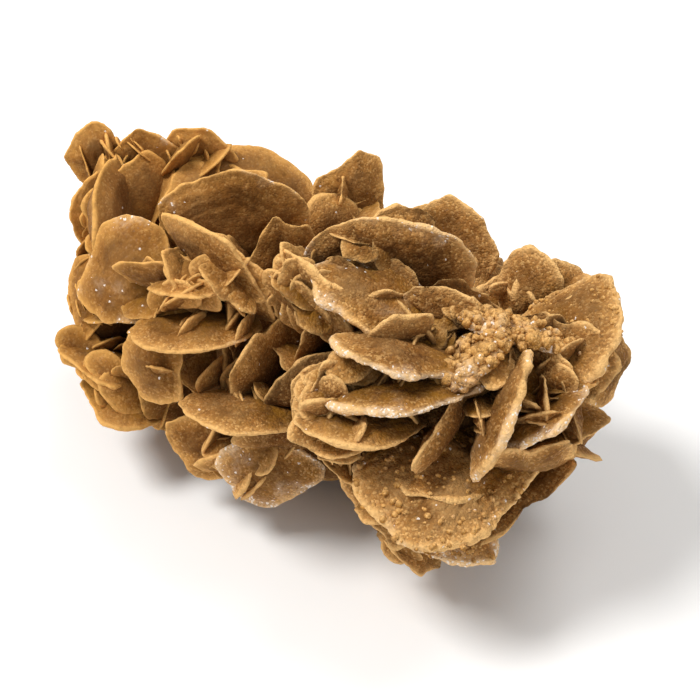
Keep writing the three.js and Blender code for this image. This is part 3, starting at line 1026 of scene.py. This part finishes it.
class SANDROSE_OT_twin_blades(bpy.types.Operator):
    """Grow seeded smaller blades through the broad ones, sorted into pieces along the length"""

    bl_idname = "sand_rose.twin_blades"
    bl_label = "Twin blades"

    GROUPS = 3
    SEED = 33

    def execute(self, context):
        settings = context.scene.sand_rose
        rng = np.random.default_rng(self.SEED)
        hosts = [measured_blade(n) for n in sorted(frame["nodes"])
                 if not n.startswith("heart") and n not in BARE_FACED]
        shapes = [twin_blade(host, rng) for host in hosts for _ in range(settings.twins)]
        add_groups(context, "twin_blades", shapes, self.GROUPS,
                   spacing=1.1, rim=1.0, seed=700, straightness=0.7)
        return {"FINISHED"}


class SANDROSE_OT_offshoots(bpy.types.Operator):
    """Grow families of small blades on the broad ones, sorted into pieces along the length"""

    bl_idname = "sand_rose.offshoots"
    bl_label = "Offshoots"

    GROUPS = 4
    SEED = 52

    def execute(self, context):
        rng = np.random.default_rng(self.SEED)
        hosts = [measured_blade(n) for n in sorted(frame["nodes"]) if n not in OFFSHOOT_FREE]
        shapes = [shape for host in hosts for shape in offshoots(host, rng)]
        add_groups(context, "offshoots", shapes, self.GROUPS,
                   spacing=1.5, rim=0.8, seed=1000, straightness=0.5)
        return {"FINISHED"}


class SANDROSE_OT_inner_blades(bpy.types.Operator):
    """Fill the cluster with seeded blades, sorted into pieces along its length"""

    bl_idname = "sand_rose.inner_blades"
    bl_label = "Inner blades"

    GROUPS = 5
    SEED = 21

    def execute(self, context):
        settings = context.scene.sand_rose
        rng = np.random.default_rng(self.SEED)
        shapes = [inner_blade(rng) for _ in range(settings.inner_blades)]
        add_groups(context, "inner_blades", shapes, self.GROUPS,
                   spacing=2.4, rim=1.0, seed=400, straightness=0.8)
        return {"FINISHED"}


def nodule_surface(centres, radii, rng):
    """Many lumpy balls at once: the two sides of a disc grid bent into half balls, where a
    ring's angle from the pole is 90 degrees times its share, then swollen by noise."""
    count = 6
    ring, angle = disc_grid(count)
    tilt = ring * math.pi / 2
    flat = np.sin(tilt)[..., None] * np.stack([np.cos(angle), np.sin(angle)], axis=-1)
    ball = closed_values(*(np.concatenate([flat, side * np.cos(tilt)[..., None]], -1) for side in (1, -1)))
    stretch = rng.uniform(0.8, 1.15, (len(centres), 1, 3))
    points = centres[:, None] + radii[:, None, None] * stretch * ball
    points = points + ball * layered(points, ((2.2, 0.8), (1.0, 0.4)), 70)[..., None]
    quads = closed_grid(count)[None] + len(ball) * np.arange(len(centres))[:, None, None]
    points = points.reshape(-1, 3)
    normal = np.tile(ball, (len(centres), 1))
    # Painted light on the nodules: the crowding in front paints shade between them, and the rim and relief
    # fields follow the upward side, giving a painted highlight on their tops and painted shade under them.
    hollow = CROWDING.at(points + 3 * MM * normal)
    fields = {
        "rim": smoothstep(0.2, 1, normal[:, 2]) * 0.4,
        "inner": np.zeros(len(points)),
        "hollow": hollow * 0.8,
        "dust": np.zeros(len(points)),
        "sugar": smoothstep(0.3, 0.9, lattice_noise(points, 7 * MM, 33)) * 0.5,
        "relief": np.clip(0.6 * normal[:, 2], -1, 1),
        "grit": np.ones(len(points)),
    }
    return points, quads.reshape(-1, 4), fields


class SANDROSE_OT_crust(bpy.types.Operator):
    """Scatter nodules of cemented sand over the crusted blades, one piece for each kind"""

    bl_idname = "sand_rose.crust"
    bl_label = "Sand crust"

    FIRST_SEED = 80
    FIRST_PATCH_SEED = 120
    PATCH_SIZE = 13 * MM

    def execute(self, context):
        settings = context.scene.sand_rose
        surfaces = {"ridge_nodules": [], "plate_nodules": []}
        for seed, (host, (share, largest)) in enumerate(NODULES.items()):
            rng = np.random.default_rng(self.FIRST_SEED + seed)
            points, _, _, normals = grown_node(host, settings)
            pick = rng.choice(len(points), int(settings.nodules * share))
            points, normals = points[pick], normals[pick]
            patch = lattice_noise(points, self.PATCH_SIZE, self.FIRST_PATCH_SEED + seed) + share
            shown = (normals @ SHOWN_SIDE > 0.0) & (patch > 0.35)
            points, normals = points[shown], normals[shown]
            radii = rng.uniform(0.4, 1, len(points)) ** 1.5 * largest * MM
            sunk = rng.uniform(-0.7, 0.8 * share - 0.8, len(points)) * radii
            name = "ridge_nodules" if SLOTS[host] == "sand_crust" else "plate_nodules"
            surfaces[name].append(nodule_surface(points + normals * sunk[:, None], radii, rng))
        for name, parts in surfaces.items():
            add_piece(name, join(parts), finish(context, "sand_crust"))
        return {"FINISHED"}


# Each row: the light's name, its place from the middle of the object, its size and its power
LIGHTS = (
    ("key_light", (-0.9, -0.8, 1.95), 0.9, 47.0),
    ("fill_light", (1.8, -0.9, 1.0), 1.5, 9.0),
    ("top_light", (0.2, 1.0, 2.0), 1.2, 18.0),
)


class SANDROSE_OT_stage(bpy.types.Operator):
    """Lay the pale floor and set the soft lights and the camera"""

    bl_idname = "sand_rose.stage"
    bl_label = "Stage"

    FLOOR_HALF = 3.0
    AIR_STRENGTH = 0.38

    def execute(self, context):
        scene = context.scene
        self.floor(scene)
        for name, offset, size, power in LIGHTS:
            light = bpy.data.lights.new(name, "AREA")
            light.shape = "DISK"
            light.size = size
            light.energy = power
            self.aim(scene, bpy.data.objects.new(name, light), CENTRE + np.array(offset), CENTRE)
        world = bpy.data.worlds.new("studio_air")
        world.use_nodes = True
        world.node_tree.nodes["Background"].inputs["Color"].default_value = (1, 1, 1, 1)
        world.node_tree.nodes["Background"].inputs["Strength"].default_value = self.AIR_STRENGTH
        scene.world = world
        back = np.array([
            math.sin(CAMERA_AZIMUTH) * math.cos(CAMERA_ELEVATION),
            -math.cos(CAMERA_AZIMUTH) * math.cos(CAMERA_ELEVATION),
            math.sin(CAMERA_ELEVATION),
        ])
        lens = bpy.data.cameras.new("camera")
        lens.lens = CAMERA_LENS
        camera = bpy.data.objects.new("camera", lens)
        target = CENTRE + CAMERA_AIM
        self.aim(scene, camera, target + CAMERA_DISTANCE * back, target)
        scene.camera = camera
        scene.view_settings.view_transform = "Standard"
        return {"FINISHED"}

    def floor(self, scene):
        """A flat square of four corners, (u, v) spread from -1 to 1 times its half width."""
        corners = np.array([(-1, -1, 0), (1, -1, 0), (1, 1, 0), (-1, 1, 0)]) * self.FLOOR_HALF
        mesh = bpy.data.meshes.new("floor")
        mesh.from_pydata(corners.tolist(), [], [(0, 1, 2, 3)])
        mesh.materials.append(floor_paint(tuple(scene.sand_rose.floor)))
        floor = bpy.data.objects.new("floor", mesh)
        scene.collection.objects.link(floor)

    def aim(self, scene, thing, place, target):
        """Puts a light or camera at a place, looking at a target with its top upwards."""
        look = Vector(target - place).to_track_quat("-Z", "Y").to_matrix().to_4x4()
        thing.matrix_world = Matrix.Translation(Vector(place)) @ look
        scene.collection.objects.link(thing)


OPERATORS = (SANDROSE_OT_blades, SANDROSE_OT_small_blades, SANDROSE_OT_twin_blades,
             SANDROSE_OT_offshoots, SANDROSE_OT_inner_blades, SANDROSE_OT_crust, SANDROSE_OT_stage)


class SANDROSE_PT_panel(bpy.types.Panel):
    """The steps of the sand rose, in the order that they are run"""

    bl_idname = "SANDROSE_PT_panel"
    bl_label = "Sand rose"
    bl_space_type = "VIEW_3D"
    bl_region_type = "UI"
    bl_category = "Sand rose"

    def draw(self, context):
        for name in SandRoseSettings.__annotations__:
            self.layout.prop(context.scene.sand_rose, name)
        for operator in OPERATORS:
            self.layout.operator(operator.bl_idname)


CLASSES = (SandRoseSettings, *OPERATORS, SANDROSE_PT_panel)


def register():
    for cls in CLASSES:
        bpy.utils.register_class(cls)
    bpy.types.Scene.sand_rose = PointerProperty(type=SandRoseSettings)


def unregister():
    del bpy.types.Scene.sand_rose
    for cls in reversed(CLASSES):
        bpy.utils.unregister_class(cls)


def main():
    register()
    bpy.ops.sand_rose.blades()
    bpy.ops.sand_rose.small_blades()
    bpy.ops.sand_rose.twin_blades()
    bpy.ops.sand_rose.offshoots()
    bpy.ops.sand_rose.inner_blades()
    bpy.ops.sand_rose.crust()
    bpy.ops.sand_rose.stage()


if __name__ == "__main__":
    main()
